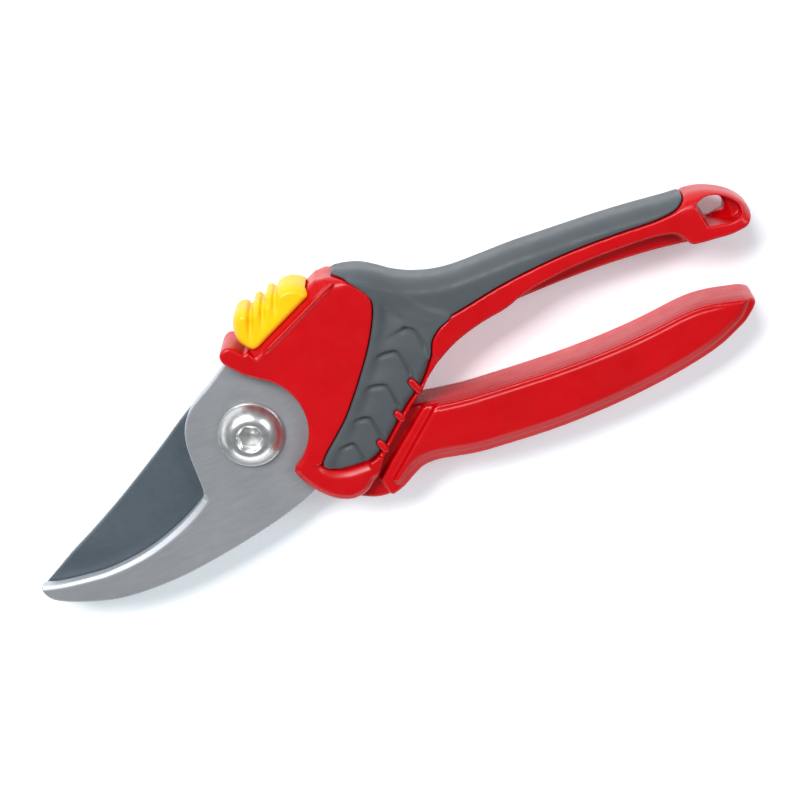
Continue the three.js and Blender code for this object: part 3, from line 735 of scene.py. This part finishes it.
def domed_bolt():
    """The pivot bolt: shank, flange, domed head and hexagon socket, from its end face up."""
    top = span("pivot_bolt")[1][2]
    shank, flats, depth = 4, 6.0, 3.4
    rings = [ring(shank - 0.5, 0), ring(shank, 0.5)]
    thread_pitch = 0.625
    for z in np.arange(0.9, 5.6, thread_pitch):
        rings += [ring(shank - 0.35, z), ring(shank, z + 0.28)]
    rings += [ring(shank, ROOF), ring(BOLT_RADIUS - 0.2, ROOF), ring(BOLT_RADIUS, ROOF + 0.2)]
    rings += [ring(BOLT_RADIUS, ROOF + 0.65), ring(BOLT_RADIUS - 0.12, ROOF + 0.82)]
    edge_radius, edge_z, flat_radius = BOLT_RADIUS - 0.35, ROOF + 0.92, 4.2
    for share in np.linspace(0, 1, 16):
        radius = edge_radius + (flat_radius - edge_radius) * share
        fall = (radius - flat_radius) / (edge_radius - flat_radius)
        rings.append(ring(radius, top - (top - edge_z) * fall**2))
    rim = 3.75
    rings += [ring(rim, top), ring(rim - 0.12, top - 0.05)]
    rings += [ring(hexagon(flats), top - 0.45), ring(hexagon(flats - 0.05), top - 0.7)]
    rings += [ring(hexagon(flats - 0.1), top - depth), ring(2.2, top - depth - 0.2)]
    rings.append(ring(0.3, top - depth - 0.9))
    return stacked("domed_bolt", rings, closed=False)


def locking_nut():
    low, high = span("pivot_nut")
    bottom, top = low[2], high[2]
    across = 13.0
    body = hexagon(across)
    rings = [ring(lesser(body, 6.2), bottom), ring(lesser(body, 6.9), bottom + 0.35)]
    rings += [ring(body, bottom + 0.8), ring(body, top - 0.8)]
    rings += [ring(lesser(body, 6.9), top - 0.35), ring(lesser(body, 6.2), top), ring(4.7, top)]
    turns = np.linspace(top - 0.3, bottom + 0.3, 8)
    for i, z in enumerate(turns):
        rings.append(ring(4.3 if i % 2 == 0 else 4.55, z))
    rings.append(ring(4.7, bottom))
    return stacked("locking_nut", rings)


def socket_screw(node):
    """A small socket screw put in from the back: its head is at the low end."""
    low, high = span(node)
    centre = [(low[0] + high[0]) / 2, (low[1] + high[1]) / 2, 0]
    head, shank, bottom, tip = (high[0] - low[0]) / 2, 1.7, low[2], high[2]
    seat = bottom + 2.2
    count = 48
    rings = [ring(0.2, bottom + 1.5, count), ring(hexagon(2.5), bottom + 1.3, count)]
    rings += [ring(hexagon(2.55), bottom + 0.25, count), ring(1.6, bottom, count)]
    rings += [ring(head - 0.55, bottom, count), ring(head - 0.15, bottom + 0.15, count)]
    rings += [ring(head, bottom + 0.55, count), ring(head, seat - 0.15, count)]
    rings += [ring(head - 0.12, seat, count), ring(shank, seat, count), ring(shank, seat + 1, count)]
    for z in np.arange(seat + 1.2, tip - 0.8, 0.7):
        rings += [ring(shank - 0.25, z, count), ring(shank, z + 0.3, count)]
    rings += [ring(shank - 0.4, tip, count)]
    return stacked(f"{node}_threaded", rings[::-1], centre, closed=False)


# ---------------------------------------------------------------- materials


class Nodes:
    """A material's nodes, with a short way to add and link one."""

    def __init__(self, name):
        self.material = bpy.data.materials.new(name)
        self.material.use_nodes = True
        self.tree = self.material.node_tree
        self.shader = self.tree.nodes["Principled BSDF"]
        self.place = self.add("ShaderNodeTexCoord").outputs["Object"]

    def add(self, kind, inputs=(), **settings):
        made = self.tree.nodes.new(kind)
        for key, value in settings.items():
            setattr(made, key, value)
        for key, value in dict(inputs).items():
            if isinstance(value, bpy.types.NodeSocket):
                self.tree.links.new(value, made.inputs[key])
            else:
                made.inputs[key].default_value = value
        return made

    def noise(self, size, detail=3, stretch=None):
        """Noise whose features are about `size` millimetres, longer along one axis if stretched."""
        place = self.place
        if stretch:
            place = self.add("ShaderNodeMapping", {"Vector": place, "Scale": stretch}).outputs[0]
        inputs = {"Vector": place, "Scale": 1 / (size * MM), "Detail": detail}
        return self.add("ShaderNodeTexNoise", inputs).outputs["Fac"]

    def ramp(self, value, stops):
        """A colour ramp from (position, colour) stops; a number stands for a grey."""
        made = self.add("ShaderNodeValToRGB", {"Fac": value})
        elements = made.color_ramp.elements
        while len(elements) < len(stops):
            elements.new(0.5)
        for element, (position, colour) in zip(elements, stops):
            colour = (colour,) * 3 if isinstance(colour, (int, float)) else colour
            element.position, element.color = position, (*colour, 1)
        return made.outputs["Color"]

    def mix(self, share, a, b):
        inputs = {"Factor": share}
        made = self.add("ShaderNodeMix", inputs, data_type="RGBA")
        for socket, value in (("A_Color", a), ("B_Color", b)):
            target = next(i for i in made.inputs if i.identifier == socket)
            if isinstance(value, bpy.types.NodeSocket):
                self.tree.links.new(value, target)
            else:
                target.default_value = (*value, 1)
        return next(o for o in made.outputs if o.identifier == "Result_Color")

    def bump(self, *layers):
        """Bumps from (height, strength, depth in millimetres) layers, one on the other."""
        normal = None
        for height, strength, depth in layers:
            inputs = {"Height": height, "Strength": strength, "Distance": depth * MM}
            if normal is not None:
                inputs["Normal"] = normal
            normal = self.add("ShaderNodeBump", inputs).outputs["Normal"]
        self.tree.links.new(normal, self.shader.inputs["Normal"])

    def link(self, socket, value):
        self.tree.links.new(value, self.shader.inputs[socket])

    def set(self, **values):
        for name, value in values.items():
            self.shader.inputs[name.replace("_", " ")].default_value = value


def linear(red, green, blue):
    """A colour given as it looks, 0 to 255, in the linear values that a shader takes."""

    def channel(value):
        value /= 255
        return value / 12.92 if value <= 0.04045 else ((value + 0.055) / 1.055) ** 2.4

    return tuple(channel(v) for v in (red, green, blue))


def moulded_plastic(name, colour, deep, roughness):
    """Glossy moulded plastic: slow variations of colour, faint sink marks and rubbed patches."""
    n = Nodes(name)
    n.link("Base Color", n.mix(n.ramp(n.noise(14, 2), [(0.35, 0), (0.65, 1)]), colour, deep))
    rubbed = n.ramp(n.noise(4.5, 3), [(0.3, roughness - 0.04), (0.7, roughness + 0.06)])
    n.link("Roughness", rubbed)
    n.bump((n.noise(9, 1), 0.05, 0.12))
    n.set(IOR=1.45, Specular_IOR_Level=0.4)
    return n.material


def soft_rubber():
    """The grip's soft compound: matt, with a fine grain and slightly paler worn patches."""
    n = Nodes("grey_grip")
    grain = n.add("ShaderNodeTexVoronoi", {"Vector": n.place, "Scale": 1 / (0.42 * MM)})
    worn = n.ramp(n.noise(11, 4), [(0.4, 0), (0.75, 1)])
    n.link("Base Color", n.mix(worn, linear(65, 71, 75), linear(71, 77, 81)))
    n.link("Roughness", n.ramp(n.noise(3, 4), [(0.3, 0.5), (0.7, 0.64)]))
    n.bump((grain.outputs["Distance"], 0.22, 0.05), (n.noise(0.25, 2), 0.1, 0.03))
    n.set(IOR=1.47, Sheen_Weight=0.12, Sheen_Roughness=0.5)
    return n.material


def satin_steel(name, dark, light, roughness, ground=None):
    """Blasted steel with a fine grain. `ground` is the paler colour of its sloping ground edges."""
    n = Nodes(name)
    tint = n.mix(n.ramp(n.noise(18, 3), [(0.3, 0), (0.7, 1)]), dark, light)
    if ground:
        normal = n.add("ShaderNodeNewGeometry").outputs["True Normal"]
        height = n.add("ShaderNodeSeparateXYZ", {"Vector": normal}).outputs["Z"]
        level = n.add("ShaderNodeMath", {0: height}, operation="ABSOLUTE").outputs[0]
        tint = n.mix(n.ramp(level, [(0.84, 1), (0.985, 0)]), tint, ground)
    n.link("Base Color", tint)
    streaks = n.noise(0.5, 3, stretch=(0.12, 1, 1))
    n.link("Roughness", n.ramp(streaks, [(0.3, roughness - 0.05), (0.7, roughness + 0.07)]))
    n.bump((n.noise(0.22, 2), 0.12, 0.02), (streaks, 0.05, 0.02))
    n.set(Metallic=0.5)
    return n.material


def coated_steel():
    """The cutting blade's dark low-friction coating, with a few faint scuffs."""
    n = Nodes("coated_steel")
    patches = n.ramp(n.noise(20, 3), [(0.3, 0), (0.7, 1)])
    base = n.mix(patches, linear(78, 88, 96), linear(88, 98, 106))
    scuffs = n.ramp(n.noise(1.4, 6, stretch=(0.2, 1, 1)), [(0.66, 0), (0.8, 1)])
    n.link("Base Color", n.mix(scuffs, base, linear(96, 104, 110)))
    n.link("Roughness", n.ramp(n.noise(1.1, 4), [(0.3, 0.42), (0.7, 0.54)]))
    n.bump((n.noise(0.18, 2), 0.1, 0.015))
    n.set(Metallic=0.35)
    return n.material


def bright_steel(name, colour, roughness, mark_size):
    """Turned or plated steel: circular tool marks about the upright axis, and small smudges."""
    n = Nodes(name)
    smudge = n.ramp(n.noise(2.6, 5), [(0.35, 0), (0.75, 1)])
    n.link("Base Color", n.mix(smudge, colour, tuple(v * 0.86 for v in colour)))
    n.link("Roughness", n.ramp(n.noise(1.5, 4), [(0.3, roughness), (0.7, roughness + 0.07)]))
    wave = n.add(
        "ShaderNodeTexWave",
        {"Vector": n.place, "Scale": 1 / (mark_size * 20 * MM), "Distortion": 0.4},
        wave_type="RINGS",
        rings_direction="Z",
    )
    n.bump((wave.outputs["Fac"], 0.02, 0.02), (n.noise(0.3, 2), 0.02, 0.01))
    n.set(Metallic=1.0)
    return n.material


def black_rubber():
    n = Nodes("black_rubber")
    n.link("Base Color", n.ramp(n.noise(3, 3), [(0.3, 0.012), (0.7, 0.024)]))
    n.link("Roughness", n.ramp(n.noise(0.8, 3), [(0.3, 0.75), (0.7, 0.9)]))
    n.bump((n.noise(0.3, 3), 0.3, 0.04))
    return n.material


MATERIALS = {
    "red_plastic": moulded_plastic("red_plastic", linear(188, 0, 10), linear(181, 0, 8), 0.31),
    "grey_grip": soft_rubber(),
    "yellow_plastic": moulded_plastic("yellow_plastic", linear(255, 190, 0), linear(255, 182, 0), 0.38),
    "plain_steel": satin_steel(
        "plain_steel",
        linear(148, 149, 153),
        linear(156, 158, 162),
        0.46,
        ground=linear(186, 190, 197),
    ),
    "coated_steel": coated_steel(),
    "polished_steel": bright_steel("polished_steel", linear(232, 232, 230), 0.29, 0.5),
    "zinc_steel": bright_steel("zinc_steel", linear(190, 192, 192), 0.3, 0.6),
    "spring_steel": bright_steel("spring_steel", linear(140, 141, 144), 0.32, 0.4),
    "black_rubber": black_rubber(),
}


# ---------------------------------------------------------------- the object


def place(piece, body, node, slot):
    """A finished piece: it rides on its body, and stands for its CAD node."""
    piece.data.materials.clear()
    piece.data.materials.append(MATERIALS[slot])
    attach(piece, body)
    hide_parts(node)


BODY_OF = {n: b for b, nodes in frame["record"]["behaviour"]["bodies"].items() for n in nodes}
SLOT_OF = {p["node"]: p["material_slot"] for p in frame["record"]["subparts"]}
MADE = {
    "upper_handle": handle_shell,
    "upper_grip": soft_grip,
    "lower_handle": lower_handle,
    "lock_slider": thumb_slider,
    "counter_blade": hooked_blade,
    "cutting_blade": coated_blade,
    "pivot_bolt": domed_bolt,
    "pivot_nut": locking_nut,
}
SCREWS = ["tang_screw_1", "tang_screw_2", "blade_screw_1", "blade_screw_2"]

for node, make in MADE.items():
    place(make(), BODY_OF[node], node, SLOT_OF[node])
for node in SCREWS:
    place(socket_screw(node), BODY_OF[node], node, SLOT_OF[node])
for node, part in frame["nodes"].items():
    if node in MADE or node in SCREWS:
        continue
    part.data.materials.clear()
    part.data.materials.append(MATERIALS[SLOT_OF[node]])
    bevel = part.modifiers.new("worn_edges", "BEVEL")
    bevel.width, bevel.segments, bevel.limit_method = 0.1 * MM, 2, "ANGLE"


# ---------------------------------------------------------------- camera, floor and light

# The view is from well above, a little from the thumb's side. The frame is turned in the picture.
TILT, TURN = math.radians(18), math.radians(25)
DISTANCE = 0.582  # metres, as are the places below
TARGET = Vector((0.0386, -0.00934, 0.009))
RIGHT = Vector((math.cos(TURN), -math.sin(TURN), 0))
AWAY = Vector((math.sin(TURN), math.cos(TURN), 0))
BACK = Vector((0, 0, math.cos(TILT))) + AWAY * math.sin(TILT)
UP = AWAY * math.cos(TILT) - Vector((0, 0, math.sin(TILT)))


def camera():
    data = bpy.data.cameras.new("camera")
    data.lens, data.sensor_width = 100, 36
    made = bpy.data.objects.new("camera", data)
    turn = Matrix((RIGHT, UP, BACK)).transposed().to_4x4()
    made.matrix_world = Matrix.Translation(TARGET + BACK * DISTANCE) @ turn
    bpy.context.scene.collection.objects.link(made)
    bpy.context.scene.camera = made


def floor():
    half, count, under_object = 1.6, 24, -0.0001
    steps = np.linspace(-half, half, count + 1)
    points = [(x, y, under_object) for y in steps for x in steps]
    row = count + 1
    faces = [
        (j * row + i, j * row + i + 1, (j + 1) * row + i + 1, (j + 1) * row + i)
        for j in range(count)
        for i in range(count)
    ]
    mesh = bpy.data.meshes.new("floor")
    mesh.from_pydata(points, [], faces)
    made = bpy.data.objects.new("floor", mesh)
    n = Nodes("floor")
    stops = [(0.3, linear(246, 247, 250)), (0.7, linear(250, 251, 253))]
    n.link("Base Color", n.ramp(n.noise(300, 2), stops))
    n.set(Roughness=0.9, Emission_Color=(0.8, 0.95, 1, 1), Emission_Strength=0.21)
    mesh.materials.append(n.material)
    bpy.context.scene.collection.objects.link(made)


def softbox(name, offset, width, height, watts, colour=(1, 1, 1)):
    """An area light at an offset along (right, away, up) from the target, facing it."""
    data = bpy.data.lights.new(name, "AREA")
    data.shape, data.size, data.size_y = "RECTANGLE", width, height
    data.energy, data.color = watts, colour
    made = bpy.data.objects.new(name, data)
    right, away, up = offset
    made.location = TARGET + RIGHT * right + AWAY * away + Vector((0, 0, up))
    made.rotation_mode = "QUATERNION"
    made.rotation_quaternion = (TARGET - made.location).to_track_quat("-Z", "Y")
    bpy.context.scene.collection.objects.link(made)


def studio():
    softbox("key", (-0.55, 0.75, 1.05), 0.9, 0.5, 23)
    softbox("fill", (0.8, 0.5, 0.9), 0.5, 0.5, 5, (0.95, 0.97, 1))
    softbox("front", (0.0, -1.0, 0.4), 1.6, 0.5, 5)
    world = bpy.data.worlds.new("studio")
    bpy.context.scene.world = world
    world.use_nodes = True
    background = world.node_tree.nodes["Background"]
    background.inputs["Color"].default_value = (0.86, 0.95, 1, 1)
    background.inputs["Strength"].default_value = 0.24


bpy.context.scene.view_settings.view_transform = "Standard"
camera()
floor()
studio()
